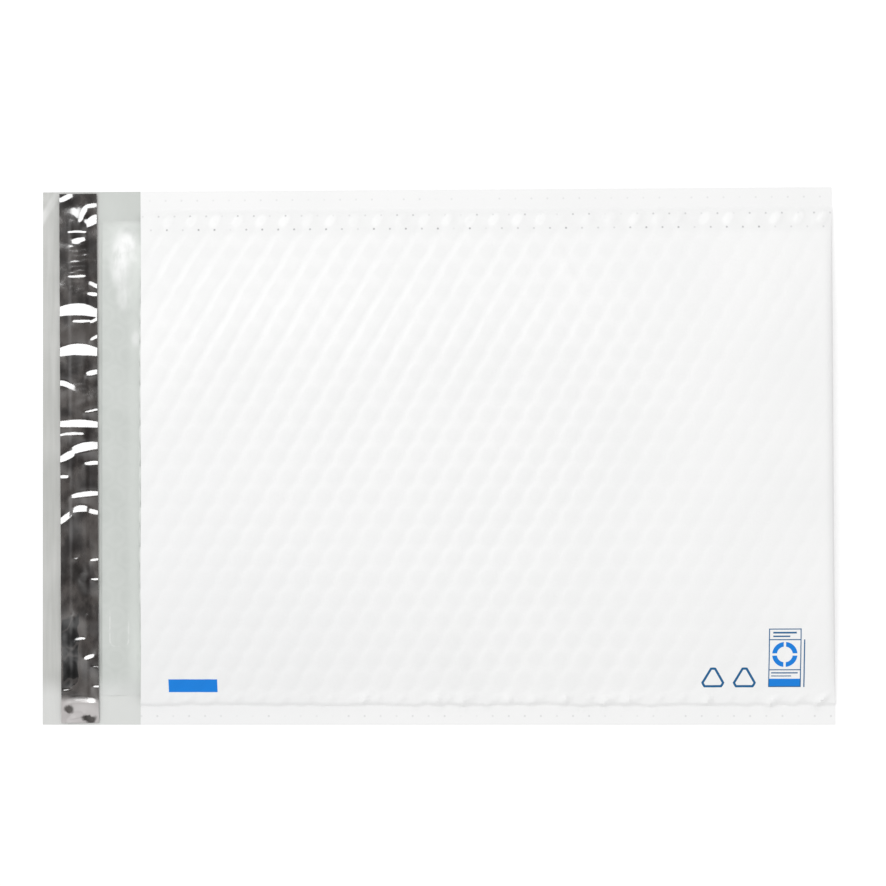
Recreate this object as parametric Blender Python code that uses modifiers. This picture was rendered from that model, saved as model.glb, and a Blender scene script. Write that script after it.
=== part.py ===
"""Padded bubble mailer, lying on its back panel.

One film sheet is folded at the +X end and fused along both sides into a pocket, and its back panel runs
on past the mouth as a sealing lip. A folded ply of bubble film lines the pocket. The lip carries a strip
of hot-melt adhesive under a release strip. Units are metres, and +Z is up.
"""

import math

import bmesh
import bpy

COLLECTION = "bubble_mailer"

# Film sheet
WIDTH = 0.2159
POCKET_LENGTH = 0.2794
LIP_LENGTH = 0.0398
FILM = 0.0002
SEAM_WIDTH = 0.0076

# Bubble ply and the pocket inside it
CLEARANCE = 0.0003
BUBBLE_PLY = 0.0028
TAIL_EDGE = 0.0010
POCKET_OPEN = 0.0050
SIDE_OPEN = 0.0006
PLY_WELD = 0.0030

# Side of the body: a small step up from the seam, then a gentle rise
STEP_RUN = 0.0006
STEP_RISE = 0.0022
RISE_WIDTH = 0.0550

# Bubbles that show through the front panel
BUBBLE_PITCH = 0.009525
BUBBLE_RELIEF = 0.0008

# Adhesive and release strip on the lip
ADHESIVE_INSET = 0.0147
ADHESIVE_WIDTH = 0.00635
ADHESIVE_THICKNESS = 0.0003
ADHESIVE_MARGIN = 0.0120
RELEASE_WIDTH = 0.0152
RELEASE_THICKNESS = 0.00015
RELEASE_MARGIN = 0.0008
RELEASE_GAP = 0.0020
RELEASE_LEAN = math.radians(0.27)
RELEASE_WRINKLE = 0.00025
RELEASE_WRINKLE_PITCH = 0.0138

# Mesh fineness
RISE_SHARES = (0, 0.17, 0.4, 0.7, 1)
FOLD_ANGLES = (28, 50, 67, 78)
BULGE_POWER = 6
SMOOTH_COLUMNS = 9
SMOOTH_ROWS = 5
CUT_MARGIN = 0.005

# Worked out from the sizes above
SEAM_THICKNESS = 2 * FILM
LINER_DEPTH = FILM + CLEARANCE
EDGE_THICKNESS = 2 * (LINER_DEPTH + BUBBLE_PLY) + SIDE_OPEN + BUBBLE_RELIEF
BULGE = POCKET_OPEN - SIDE_OPEN
FOLD_RADIUS = EDGE_THICKNESS / 2
FOLD_X = (POCKET_LENGTH + LIP_LENGTH) / 2
LIP_X = -FOLD_X
MOUTH_X = LIP_X + LIP_LENGTH
BODY_HALF = WIDTH / 2 - SEAM_WIDTH
STEP_SHARE = STEP_RISE / (EDGE_THICKNESS - SEAM_THICKNESS)
LINER_TAIL = LIP_LENGTH - ADHESIVE_INSET - RELEASE_WIDTH / 2 - RELEASE_GAP
ROW_STEP = BUBBLE_PITCH / math.sqrt(3)
CLEAR_HEIGHT = EDGE_THICKNESS + BULGE + CUT_MARGIN


def rise(inset):
    """Share of the full thickness that the body has reached, this far inside the seam line."""
    if inset < STEP_RUN:
        return STEP_SHARE * max(inset, 0) / STEP_RUN
    slope = min((inset - STEP_RUN) / (RISE_WIDTH - STEP_RUN), 1)
    return STEP_SHARE + (1 - STEP_SHARE) * (1 - (1 - slope) ** 2)


def relief(inset):
    """Depth of the valleys between bubbles, which fade out over the last bubble beside the seam."""
    return BUBBLE_RELIEF * min(max(inset / BUBBLE_PITCH, 0), 1)


def skin_top(depth, x, y):
    """Top of the body, or of the layer that lies this depth inside it."""
    along = min(max((x + depth - MOUTH_X) / POCKET_LENGTH, 0), 1)
    across = min((abs(y) + depth) / BODY_HALF, 1)
    crown = EDGE_THICKNESS + BULGE * (1 - along**BULGE_POWER) * (1 - across**BULGE_POWER)
    share = rise(BODY_HALF - abs(y) - depth)
    return SEAM_THICKNESS + (crown - SEAM_THICKNESS) * share - depth


def fold_share(depth, x, y):
    """Share of its thickness that a layer keeps on the round of the fold."""
    radius = FOLD_RADIUS - depth
    reach = max(x - (FOLD_X - depth - radius), 0) / radius
    kept = math.sqrt(1 - (reach * math.sin(math.radians(FOLD_ANGLES[-1]))) ** 2)
    return 1 - (1 - kept) * rise(BODY_HALF - abs(y) - depth)


def folded(crown, depth, x, y):
    """Lower and upper height of a layer, whose two faces close round the fold."""
    middle = (crown + depth) / 2
    half = (crown - depth) / 2 * fold_share(depth, x, y)
    return middle - half, middle + half


def fold_columns(depth):
    """Places along X of the points that round the fold."""
    radius = FOLD_RADIUS - depth
    last = math.sin(math.radians(FOLD_ANGLES[-1]))
    return [FOLD_X - depth - radius * (1 - math.sin(math.radians(a)) / last) for a in FOLD_ANGLES]


def side_rows(insets, inner):
    """One column's places along Y: the rows of both sides around its inner ones."""
    low = [inset - BODY_HALF for inset in insets]
    return low + inner + [-y for y in reversed(low)]


def lattice_column(number):
    """A column's rows of the bubble lattice. Each odd column is half a step further along Y."""
    room = BODY_HALF - LINER_DEPTH - STEP_RUN - ROW_STEP / 4
    half = int(room / ROW_STEP - 0.25)
    shift = 0.25 if number % 2 else -0.25
    return [(step + shift) * ROW_STEP for step in range(-half, half + 1)]


def is_bubble(column, row):
    """Whether this lattice point is a bubble's centre. The others lie in the valleys between bubbles."""
    return (row - column % 2) % 3 == 0


def evenly(start, end, count):
    """Places from start to end, both included."""
    return [start + (end - start) * step / count for step in range(count + 1)]


def block(name, columns, rows, top, bottom):
    """Closed solid on a bent grid. Columns are places along X, and rows gives each one's places along Y.

    top and bottom take a column's number, a row's number, x and y, and return z.
    """
    mesh = bmesh.new()
    across = len(rows(0))
    bmesh.ops.create_grid(mesh, x_segments=len(columns) - 1, y_segments=across - 1, size=0.5)
    column_of = mesh.verts.layers.int.new("column")
    row_of = mesh.verts.layers.int.new("row")
    for vert in mesh.verts:
        vert[column_of] = round((vert.co.x + 0.5) * (len(columns) - 1))
        vert[row_of] = round((vert.co.y + 0.5) * (across - 1))
        vert.co = (columns[vert[column_of]], rows(vert[column_of])[vert[row_of]], 0)
    bmesh.ops.triangulate(mesh, faces=mesh.faces[:], quad_method="SHORT_EDGE")
    lower = mesh.verts[:]
    lifted = bmesh.ops.extrude_face_region(mesh, geom=mesh.faces[:], use_keep_orig=True)
    upper = [item for item in lifted["geom"] if isinstance(item, bmesh.types.BMVert)]
    for verts, height in ((lower, bottom), (upper, top)):
        for vert in verts:
            vert.co.z = height(vert[column_of], vert[row_of], vert.co.x, vert.co.y)
    bmesh.ops.recalc_face_normals(mesh, faces=mesh.faces[:])
    flat = [edge for edge in mesh.edges if is_flat(edge)]
    bmesh.ops.dissolve_edges(mesh, edges=flat, use_verts=False)
    return new_object(name, mesh)


def is_flat(edge):
    """Whether an edge lies inside a level underside, where it shapes nothing."""
    return len(edge.link_faces) == 2 and all(face.normal.z < -0.99999 for face in edge.link_faces)


def new_object(name, mesh):
    """An object in the part's collection that holds this bmesh."""
    data = bpy.data.meshes.new(name)
    mesh.to_mesh(data)
    mesh.free()
    made = bpy.data.objects.new(name, data)
    bpy.data.collections[COLLECTION].objects.link(made)
    return made


def box_mesh(low, high):
    """A box between two corners."""
    mesh = bmesh.new()
    bmesh.ops.create_cube(mesh, size=1)
    for vert in mesh.verts:
        vert.co = [high[i] if vert.co[i] > 0 else low[i] for i in range(3)]
    return mesh


def cut(target, cutter):
    """Takes a cutter out of an object, and keeps the cutter out of renders."""
    bpy.data.collections[COLLECTION].objects.unlink(cutter)
    bpy.data.collections["cutters"].objects.link(cutter)
    cutter.hide_render = True
    cutter.display_type = "WIRE"
    modifier = target.modifiers.new(cutter.name, "BOOLEAN")
    modifier.object = cutter
    modifier.solver = "EXACT"


def material(name, color, roughness):
    """A plain Principled material."""
    made = bpy.data.materials.new(name)
    made.use_nodes = True
    shader = made.node_tree.nodes["Principled BSDF"]
    shader.inputs["Base Color"].default_value = (*color, 1)
    shader.inputs["Roughness"].default_value = roughness
    return made


def film_skin(name, depth, start_x, insets):
    """A face of the front film with its bubbles, as a solid down to the same depth above the table."""
    body_start = MOUTH_X - BUBBLE_PITCH
    body_end = fold_columns(depth)[0] - BUBBLE_PITCH / 2
    count = int((body_end - body_start) / (BUBBLE_PITCH / 2))
    lattice = [body_start + step * BUBBLE_PITCH / 2 for step in range(count + 1)]
    columns = [start_x] + lattice + [FOLD_X - FOLD_RADIUS] + fold_columns(depth)
    first = len(insets)
    last = first + len(lattice_column(0))

    def rows(column):
        return side_rows(insets, lattice_column(column))

    def crown(column, row, x, y):
        bubble = first <= row < last and is_bubble(column, row - first)
        return skin_top(depth, x, y) - (0 if bubble else relief(BODY_HALF - abs(y) - depth))

    def top(column, row, x, y):
        return folded(crown(column, row, x, y), depth, x, y)[1]

    def bottom(column, row, x, y):
        return folded(crown(column, row, x, y), depth, x, y)[0]

    return block(name, columns, rows, top, bottom)


def wall_row(depth):
    """Row at which a layer's side wall stands, up the step from the seam: the layer is SIDE_OPEN high there."""
    share = (2 * depth + SIDE_OPEN - SEAM_THICKNESS) / STEP_RISE
    return depth + share * STEP_RUN


def rise_rows(depth):
    """Rows from the top of the step to where the body reaches its full thickness."""
    return [depth + STEP_RUN + share * (RISE_WIDTH - STEP_RUN) for share in RISE_SHARES]


def outer_film():
    """The folded film sheet: back panel and lip, fold, front panel and fused side seams."""
    film = film_skin("outer_film", 0, LIP_X, [-SEAM_WIDTH, 0, STEP_RUN])
    cavity = film_skin("film_cavity", FILM, LIP_X - CUT_MARGIN, [wall_row(FILM), FILM + STEP_RUN])
    half = WIDTH / 2 + CUT_MARGIN
    low = (LIP_X - CUT_MARGIN, -half, FILM)
    cut(film, cavity)
    cut(film, new_object("lip_space", box_mesh(low, (MOUTH_X, half, CLEAR_HEIGHT))))
    film.data.materials.append(material("white_film", (0.86, 0.87, 0.88), 0.38))


def smooth_rows(insets, depth):
    """Rows of a layer with no bubbles on it, the same for each column."""
    half = BODY_HALF - depth - RISE_WIDTH
    return side_rows(insets, evenly(-half, half, SMOOTH_ROWS)[1:-1])


def bubble_liner():
    """The folded ply of bubble film, whose back part runs on past the mouth."""
    start = MOUTH_X - LINER_TAIL
    rows = smooth_rows([wall_row(LINER_DEPTH)] + rise_rows(LINER_DEPTH), LINER_DEPTH)
    straight_end = FOLD_X - FOLD_RADIUS
    columns = [start] + evenly(MOUTH_X, straight_end, SMOOTH_COLUMNS) + fold_columns(LINER_DEPTH)

    def crown(x, y):
        return skin_top(LINER_DEPTH, x, y) - relief(BODY_HALF - abs(y) - LINER_DEPTH)

    def top(_column, _row, x, y):
        return folded(crown(x, y), LINER_DEPTH, x, y)[1]

    def bottom(_column, _row, x, y):
        return folded(crown(x, y), LINER_DEPTH, x, y)[0]

    liner = block("bubble_liner", columns, lambda _column: rows, top, bottom)
    cut(liner, pocket_space(crown))
    cut(liner, tail_space())
    liner.data.materials.append(material("bubble_film", (0.74, 0.76, 0.75), 0.3))


def pocket_space(liner_top):
    """The space inside the bubble ply. Towards the seams the ply is squashed thinner, and then welded shut."""
    rows = smooth_rows([LINER_DEPTH + PLY_WELD] + rise_rows(LINER_DEPTH)[1:], LINER_DEPTH)
    end = FOLD_X - LINER_DEPTH - BUBBLE_PLY
    columns = [MOUTH_X - LINER_TAIL - CUT_MARGIN] + evenly(MOUTH_X, end, SMOOTH_COLUMNS)

    def ply(x, y):
        return min(BUBBLE_PLY, (liner_top(x, y) - LINER_DEPTH - SIDE_OPEN) / 2)

    def top(_column, _row, x, y):
        return liner_top(x, y) - ply(x, y)

    def bottom(_column, _row, x, y):
        return LINER_DEPTH + ply(x, y)

    return block("pocket_space", columns, lambda _column: rows, top, bottom)


def tail_space():
    """Clears the front ply off the tail, and thins the tail towards its cut edge."""
    slope = (BUBBLE_PLY - TAIL_EDGE) / LINER_TAIL
    low = (MOUTH_X - LINER_TAIL - CUT_MARGIN, -BODY_HALF, 0)
    mesh = box_mesh(low, (MOUTH_X, BODY_HALF, CLEAR_HEIGHT))
    for vert in mesh.verts:
        if vert.co.z < CUT_MARGIN:
            vert.co.z = LINER_DEPTH + BUBBLE_PLY - slope * (MOUTH_X - vert.co.x)
    return new_object("tail_space", mesh)


def adhesive_strip():
    """The hot-melt bead on the lip, with round ends."""
    x = LIP_X + ADHESIVE_INSET
    half = WIDTH / 2 - ADHESIVE_MARGIN
    base = FILM + CLEARANCE
    low = (x - ADHESIVE_WIDTH / 2, -half, base)
    mesh = box_mesh(low, (x + ADHESIVE_WIDTH / 2, half, base + ADHESIVE_THICKNESS))
    upright = [edge for edge in mesh.edges if abs(edge.verts[0].co.z - edge.verts[1].co.z) > 0]
    bmesh.ops.bevel(
        mesh, geom=upright, offset=0.49 * ADHESIVE_WIDTH, segments=5, profile=0.5, affect="EDGES"
    )
    strip = new_object("adhesive_strip", mesh)
    strip.data.materials.append(material("hot_melt", (0.55, 0.5, 0.4), 0.35))


def release_strip():
    """The thin strip that covers the adhesive: it lies on the lip, humps over the bead and is wrinkled."""
    length = WIDTH - 2 * RELEASE_MARGIN - RELEASE_WIDTH * math.sin(RELEASE_LEAN)
    shelf = ADHESIVE_WIDTH / RELEASE_WIDTH
    shares = [-1, -shelf - 0.16, -shelf, shelf, shelf + 0.16, 1]
    steps = 2 * round(length / RELEASE_WRINKLE_PITCH)
    mesh = bmesh.new()
    bmesh.ops.create_grid(mesh, x_segments=len(shares) - 1, y_segments=steps, size=0.5)
    for vert in mesh.verts:
        share = shares[round((vert.co.x + 0.5) * (len(shares) - 1))]
        step = round((vert.co.y + 0.5) * steps)
        humped = abs(share) <= shelf
        vert.co.x = share * RELEASE_WIDTH / 2
        vert.co.y = (step / steps - 0.5) * length + share * RELEASE_WRINKLE_PITCH / 8 * math.sin(step)
        vert.co.z = (CLEARANCE + ADHESIVE_THICKNESS) * humped + RELEASE_WRINKLE * (step % 2)
        if step in (0, steps):
            vert.co.y = (step / steps - 0.5) * length
    bmesh.ops.recalc_face_normals(mesh, faces=mesh.faces[:])
    strip = new_object("release_strip", mesh)
    strip.location = (LIP_X + ADHESIVE_INSET, 0, FILM + CLEARANCE)
    strip.rotation_euler.z = RELEASE_LEAN
    shell = strip.modifiers.new("thickness", "SOLIDIFY")
    shell.thickness = RELEASE_THICKNESS
    shell.offset = 1
    strip.data.materials.append(material("release_film", (0.09, 0.08, 0.075), 0.12))


def main():
    """Clears the scene and builds the part."""
    for old in list(bpy.data.objects):
        bpy.data.objects.remove(old)
    for name in (COLLECTION, "cutters"):
        bpy.context.scene.collection.children.link(bpy.data.collections.new(name))
    outer_film()
    bubble_liner()
    adhesive_strip()
    release_strip()


main()
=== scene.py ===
"""Looks of the padded bubble mailer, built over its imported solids.

The film sheet, the bubble ply, the adhesive and the release strip are each one detailed piece that stands
for the solid of the same name. Sizes are in metres, and +Z is up.
"""

import logging
import math
from dataclasses import dataclass
from enum import Enum
from functools import reduce
from typing import Callable, Sequence

import bmesh
import bpy
import numpy as np
from bpy.types import Material, NodeSocket, Object
from mathutils import Matrix, Vector


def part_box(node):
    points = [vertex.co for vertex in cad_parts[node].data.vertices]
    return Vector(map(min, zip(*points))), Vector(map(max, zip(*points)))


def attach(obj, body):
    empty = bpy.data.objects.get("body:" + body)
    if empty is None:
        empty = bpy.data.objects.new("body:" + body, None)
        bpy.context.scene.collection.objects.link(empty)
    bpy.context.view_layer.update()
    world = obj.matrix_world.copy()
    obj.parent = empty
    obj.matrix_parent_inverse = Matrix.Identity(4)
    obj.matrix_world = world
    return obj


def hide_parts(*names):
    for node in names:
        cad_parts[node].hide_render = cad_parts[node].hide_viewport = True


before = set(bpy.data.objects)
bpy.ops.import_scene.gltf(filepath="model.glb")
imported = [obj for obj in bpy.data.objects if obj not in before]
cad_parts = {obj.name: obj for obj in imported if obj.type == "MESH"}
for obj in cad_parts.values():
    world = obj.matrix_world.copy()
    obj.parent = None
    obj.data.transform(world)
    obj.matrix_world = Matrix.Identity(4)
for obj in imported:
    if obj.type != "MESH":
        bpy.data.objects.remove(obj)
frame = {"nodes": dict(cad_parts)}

LOG = logging.getLogger("mailer")
MM = 0.001
ROOT = "root"

Array = np.ndarray
Pair = tuple[Array, Array]
Height = Callable[[Array, Array], Array]
Faces = Callable[[Array, Array], Pair]
Color = tuple[float, float, float]
Tone = Color | NodeSocket


class Piece(Enum):
    """The mailer's solids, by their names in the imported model."""

    FILM = "outer_film"
    PLY = "bubble_liner"
    BEAD = "adhesive_strip"
    STRIP = "release_strip"


class Slot(Enum):
    """The material slots."""

    FILM = "white_film"
    PLY = "bubble_film"
    BEAD = "hot_melt"
    STRIP = "release_film"


# --- Number fields that shape the surfaces


def smooth_step(value: Array, low: float, high: float) -> Array:
    """Goes smoothly from 0 at low to 1 at high."""
    share = np.clip((value - low) / (high - low), 0, 1)
    return share * share * (3 - 2 * share)


def ripple(x: Array, y: Array, wavelength: float, seed: int, waves: int = 9) -> Array:
    """Random waves of about one length, from -1 to 1 for the most part.

    Args:
        x: Places along X.
        y: Places along Y.
        wavelength: Middle length of the waves.
        seed: Picks the waves.
        waves: How many waves are summed.

    Returns:
        The height of the sum, at each place.
    """
    rng = np.random.default_rng(seed)
    total = np.zeros(np.broadcast(x, y).shape)
    for _ in range(waves):
        angle = rng.uniform(0, math.pi)
        pitch = 2 * math.pi / (wavelength * rng.uniform(0.7, 1.5))
        total += np.cos((x * math.cos(angle) + y * math.sin(angle)) * pitch + rng.uniform(0, 2 * math.pi))
    return total / math.sqrt(2 * waves)


@dataclass(frozen=True)
class Stroke:
    """A ridge, or a groove where its height is negative, along a line that may bend.

    Attributes:
        start: Where it starts, in mm.
        end: Where it ends, in mm.
        width: Half its width, in mm.
        height: Height of its crest, in mm.
        bow: How far its middle stands off the straight line, in mm, to the left of its run.
        lean: From -1 to 1, which side of the crest is the steeper one.
    """

    start: tuple[float, float]
    end: tuple[float, float]
    width: float
    height: float
    bow: float = 0.0
    lean: float = 0.0

    def at(self, x: Array, y: Array) -> Array:
        """Its height at each place, in metres."""
        begin = np.array(self.start) * MM
        run = np.array(self.end) * MM - begin
        length = float(np.hypot(*run))
        along = ((x - begin[0]) * run[0] + (y - begin[1]) * run[1]) / length**2
        off = ((y - begin[1]) * run[0] - (x - begin[0]) * run[1]) / length
        held = np.clip(along, 0, 1)
        off = off - 4 * held * (1 - held) * self.bow * MM
        past = np.abs(along - held) * length
        skew = 1 + 0.6 * self.lean * np.sign(off)
        reach = np.hypot(off * skew, past) / (self.width * MM)
        fade = smooth_step(held, -0.02, 0.18) * smooth_step(1 - held, -0.02, 0.18)
        return self.height * MM * np.exp(-(reach**2) * 1.6) * (0.25 + 0.75 * fade)


@dataclass(frozen=True)
class Facet:
    """A smooth patch of the release strip that leans up the strip, as one side of a wrinkle does.

    Attributes:
        across: Its middle across the strip, in mm.
        along: Its middle along the strip, in mm.
        half_width: Half its size across, in mm.
        half_length: Half its size along, in mm.
        bow: How far its middle stands up the strip from its ends, in mm.
        slant: How much it climbs along the strip for each mm across.
        lean: Its slope, as a share of the slope that suits its place.
    """

    across: float
    along: float
    half_width: float
    half_length: float
    bow: float = 0.0
    slant: float = 0.0
    lean: float = 1.0

    def share(self, across: Array, along: Array) -> Array:
        """1 inside the patch and 0 outside, with soft edges."""
        side = (across / MM - self.across) / self.half_width
        line = self.along + self.slant * side * self.half_width + self.bow * (1 - np.minimum(side**2, 1.5))
        depth = (along / MM - line) / self.half_length
        narrow = 1 - 0.35 * np.clip(side**2, 0, 1)
        inside = 1 - smooth_step(np.abs(side), 0.80, 1.10)
        return self.lean * inside * (1 - smooth_step(np.abs(depth) / narrow, 0.80, 1.12))


@dataclass(frozen=True)
class Lattice:
    """The bubbles' pattern: rows along X, each shifted by half a bubble.

    Attributes:
        pitch: Distance between bubbles in a row.
        row: Distance between rows.
        center: One bubble's place.
        flat: Radius of a bubble's flat top.
        foot: Radius at which its side ends.
    """

    pitch: float = 0.00941
    row: float = 0.00815
    center: tuple[float, float] = (0.00205, -0.0319)
    flat: float = 0.0032
    foot: float = 0.0045

    # Angle from Y of the valleys that run up to the right.
    SLANT = math.radians(30)

    def nearest(self, x: Array, y: Array) -> Pair:
        """Offsets along X and Y from the nearest bubble."""
        found = []
        for shift in (0, 1):
            across = (x - self.center[0]) / self.pitch + shift / 2
            up = (y - self.center[1]) / (2 * self.row) + shift / 2
            found.append(((across - np.round(across)) * self.pitch, (up - np.round(up)) * 2 * self.row))
        even, odd = found
        closer = np.hypot(*odd) < np.hypot(*even)
        return np.where(closer, odd[0], even[0]), np.where(closer, odd[1], even[1])

    def valley(self, x: Array, y: Array, slant: float = 0.0) -> Array:
        """0 on the bubbles' flat tops and 1 in the valleys between them.

        Args:
            x: Places along X.
            y: Places along Y.
            slant: How much deeper the valleys are that run up to the right.

        Returns:
            The share of the full depth, at each place.
        """
        dx, dy = self.nearest(x, y)
        share = smooth_step(np.hypot(dx, dy), self.flat - 0.0005, self.foot + 0.0008)
        across = dx * math.cos(self.SLANT) - dy * math.sin(self.SLANT)
        channel = smooth_step(np.abs(across), 0.0018, 0.0041)
        return share * (1 - slant) + channel * slant


# --- Mesh helpers


def blocks(mesh: bmesh.types.BMesh, columns: Sequence[float], rows: Sequence[float]) -> tuple[list, list]:
    """Makes a closed block on a grid.

    Args:
        mesh: The empty mesh that it goes into.
        columns: Places along X.
        rows: Places along Y.

    Returns:
        The points of the lower and of the upper face, both still at height 0.
    """
    bmesh.ops.create_grid(mesh, x_segments=len(columns) - 1, y_segments=len(rows) - 1, size=0.5)
    for vert in mesh.verts:
        column = round((vert.co.x + 0.5) * (len(columns) - 1))
        row = round((vert.co.y + 0.5) * (len(rows) - 1))
        vert.co = (columns[column], rows[row], 0)
    lower = mesh.verts[:]
    lifted = bmesh.ops.extrude_face_region(mesh, geom=mesh.faces[:], use_keep_orig=True)
    return lower, [item for item in lifted["geom"] if isinstance(item, bmesh.types.BMVert)]


def flat_places(verts: Sequence[bmesh.types.BMVert]) -> Pair:
    """Places of points along X and along Y."""
    flat = np.array([vert.co[:2] for vert in verts])
    return flat[:, 0], flat[:, 1]


def set_heights(verts: Sequence[bmesh.types.BMVert], heights: Array) -> None:
    """Puts each point at its height."""
    for vert, z in zip(verts, heights.tolist()):
        vert.co.z = z


def make_object(name: str, mesh: bmesh.types.BMesh) -> Object:
    """Turns a finished bmesh into an object in the scene, with its faces outwards and smooth."""
    bmesh.ops.recalc_face_normals(mesh, faces=mesh.faces[:])
    for face in mesh.faces:
        face.smooth = True
    data = bpy.data.meshes.new(name)
    mesh.to_mesh(data)
    mesh.free()
    made = bpy.data.objects.new(name, data)
    bpy.context.scene.collection.objects.link(made)
    return made


def make_block(
    name: str, columns: Sequence[float], rows: Sequence[float], faces: Faces, drawn: Height | None = None
) -> Object:
    """Makes a closed block between two height fields.

    Args:
        name: The block's name.
        columns: Places along X.
        rows: Places along Y.
        faces: Heights of its lower and of its upper face.
        drawn: How far each point is drawn back along X.

    Returns:
        The block.
    """
    mesh = bmesh.new()
    for side, verts in enumerate(blocks(mesh, columns, rows)):
        set_heights(verts, faces(*flat_places(verts))[side])
    if drawn:
        for vert, back in zip(mesh.verts, drawn(*flat_places(mesh.verts)).tolist()):
            vert.co.x -= back
    return make_object(name, mesh)


def carve(target: Object, cutters: Sequence[Object], sharp: float = 35) -> None:
    """Takes cutters out of a piece for good. The faces that a cutter leaves keep the cutter's material.

    Args:
        target: The piece.
        cutters: What is taken out of it, and deleted after.
        sharp: Edges above this angle, in degrees, stay sharp.
    """
    for cutter in cutters:
        modifier = target.modifiers.new(cutter.name, "BOOLEAN")
        modifier.object = cutter
        modifier.operation = "DIFFERENCE"
        modifier.solver = "MANIFOLD"
        modifier.material_mode = "TRANSFER"
    depsgraph = bpy.context.evaluated_depsgraph_get()
    carved = bpy.data.meshes.new_from_object(target.evaluated_get(depsgraph))
    target.modifiers.clear()
    old = target.data
    target.data = carved
    bpy.data.meshes.remove(old)
    carved.name = target.name
    for cutter in cutters:
        bpy.data.meshes.remove(cutter.data)
    carved.set_sharp_from_angle(angle=math.radians(sharp))


def spaced(start: float, end: float, step: float) -> list[float]:
    """Places from start to end, both included, about one step apart."""
    return np.linspace(start, end, max(round((end - start) / step), 1) + 1).tolist()


# --- Material helpers


class Graph:
    """The nodes of one material, around its main shader."""

    def __init__(self, name: str) -> None:
        """Starts a material with a Principled shader."""
        self.material = bpy.data.materials.new(name)
        self.material.use_nodes = True
        self.nodes = self.material.node_tree.nodes
        self.links = self.material.node_tree.links
        self.shader = self.nodes["Principled BSDF"]
        self.place = self.nodes.new("ShaderNodeTexCoord").outputs["Object"]
        split = self.nodes.new("ShaderNodeSeparateXYZ")
        self.links.new(self.place, split.inputs[0])
        self.x, self.y, self.z = (Field(self, out) for out in split.outputs)

    def set(self, **values: float | Color) -> None:
        """Sets plain numbers and colours on the main shader's own sockets."""
        for name, value in values.items():
            socket = self.shader.inputs[name.replace("_", " ")]
            socket.default_value = (*value, 1) if isinstance(value, tuple) else value

    def math(self, operation: str, *values: "Field | float") -> "Field":
        """A Math node's result."""
        node = self.nodes.new("ShaderNodeMath")
        node.operation = operation
        for socket, value in zip(node.inputs, values):
            if isinstance(value, Field):
                self.links.new(value.socket, socket)
            else:
                socket.default_value = value
        return Field(self, node.outputs[0])

    def noise(self, wavelength: float, detail: float = 2, stretch: tuple = (1, 1, 1)) -> "Field":
        """Noise from 0 to 1, with features of about this size."""
        scaled = self.nodes.new("ShaderNodeMapping")
        scaled.inputs["Scale"].default_value = stretch
        self.links.new(self.place, scaled.inputs["Vector"])
        node = self.nodes.new("ShaderNodeTexNoise")
        node.inputs["Scale"].default_value = 1 / wavelength
        node.inputs["Detail"].default_value = detail
        self.links.new(scaled.outputs[0], node.inputs["Vector"])
        return Field(self, node.outputs["Fac"])

    def random(self, number: "Field") -> "Field":
        """A random number from 0 to 1 for each whole number."""
        node = self.nodes.new("ShaderNodeTexWhiteNoise")
        node.noise_dimensions = "1D"
        self.links.new(number.socket, node.inputs["W"])
        return Field(self, node.outputs["Value"])

    def mix(self, share: "Field", low: Tone, high: Tone) -> NodeSocket:
        """A colour between two, by a share from 0 to 1. Each is a plain colour or a node's."""
        node = self.nodes.new("ShaderNodeMix")
        node.data_type = "RGBA"
        self.links.new(share.socket, node.inputs["Factor"])
        for name, value in (("A", low), ("B", high)):
            socket = next(s for s in node.inputs if s.name == name and s.type == "RGBA")
            if isinstance(value, tuple):
                socket.default_value = (*value, 1)
            else:
                self.links.new(value, socket)
        return next(s for s in node.outputs if s.type == "RGBA")

    def color(self, socket: NodeSocket) -> None:
        """Gives the main shader its colour."""
        self.links.new(socket, self.shader.inputs["Base Color"])

    def roughness(self, value: "Field") -> None:
        """Gives the main shader its roughness."""
        self.links.new(value.socket, self.shader.inputs["Roughness"])

    def bump(self, height: "Field") -> None:
        """Shapes the surface finely, by a height in metres."""
        node = self.nodes.new("ShaderNodeBump")
        node.inputs["Distance"].default_value = 1
        node.inputs["Strength"].default_value = 1
        self.links.new(height.socket, node.inputs["Height"])
        self.links.new(node.outputs[0], self.shader.inputs["Normal"])


@dataclass(frozen=True)
class Field:
    """A number that varies over a surface: one output of a material's nodes."""

    graph: Graph
    socket: NodeSocket

    def __add__(self, other: "Field | float") -> "Field":
        """Sum."""
        return self.graph.math("ADD", self, other)

    def __sub__(self, other: "Field | float") -> "Field":
        """Difference."""
        return self.graph.math("SUBTRACT", self, other)

    def __mul__(self, other: "Field | float") -> "Field":
        """Product."""
        return self.graph.math("MULTIPLY", self, other)

    def abs(self) -> "Field":
        """Size without its sign."""
        return self.graph.math("ABSOLUTE", self)

    def floor(self) -> "Field":
        """The whole number below."""
        return self.graph.math("FLOOR", self)

    def high(self, other: "Field | float") -> "Field":
        """The higher of two."""
        return self.graph.math("MAXIMUM", self, other)

    def low(self, other: "Field | float") -> "Field":
        """The lower of two."""
        return self.graph.math("MINIMUM", self, other)

    def wrap(self, half: float) -> "Field":
        """Repeats from -half to half."""
        return self.graph.math("WRAP", self, half, -half)

    def far(self, other: "Field") -> "Field":
        """Length of the line with this and another number as its sides."""
        return self.graph.math("SQRT", self * self + other * other)

    def step(self, low: float, high: float) -> "Field":
        """Goes smoothly from 0 at low to 1 at high. With low above high it falls instead."""
        node = self.graph.nodes.new("ShaderNodeMapRange")
        node.interpolation_type = "SMOOTHSTEP"
        rising = low < high
        node.inputs["From Min"].default_value = min(low, high)
        node.inputs["From Max"].default_value = max(low, high)
        node.inputs["To Min"].default_value = 0 if rising else 1
        node.inputs["To Max"].default_value = 1 if rising else 0
        self.graph.links.new(self.socket, node.inputs["Value"])
        return Field(self.graph, node.outputs["Result"])


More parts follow.
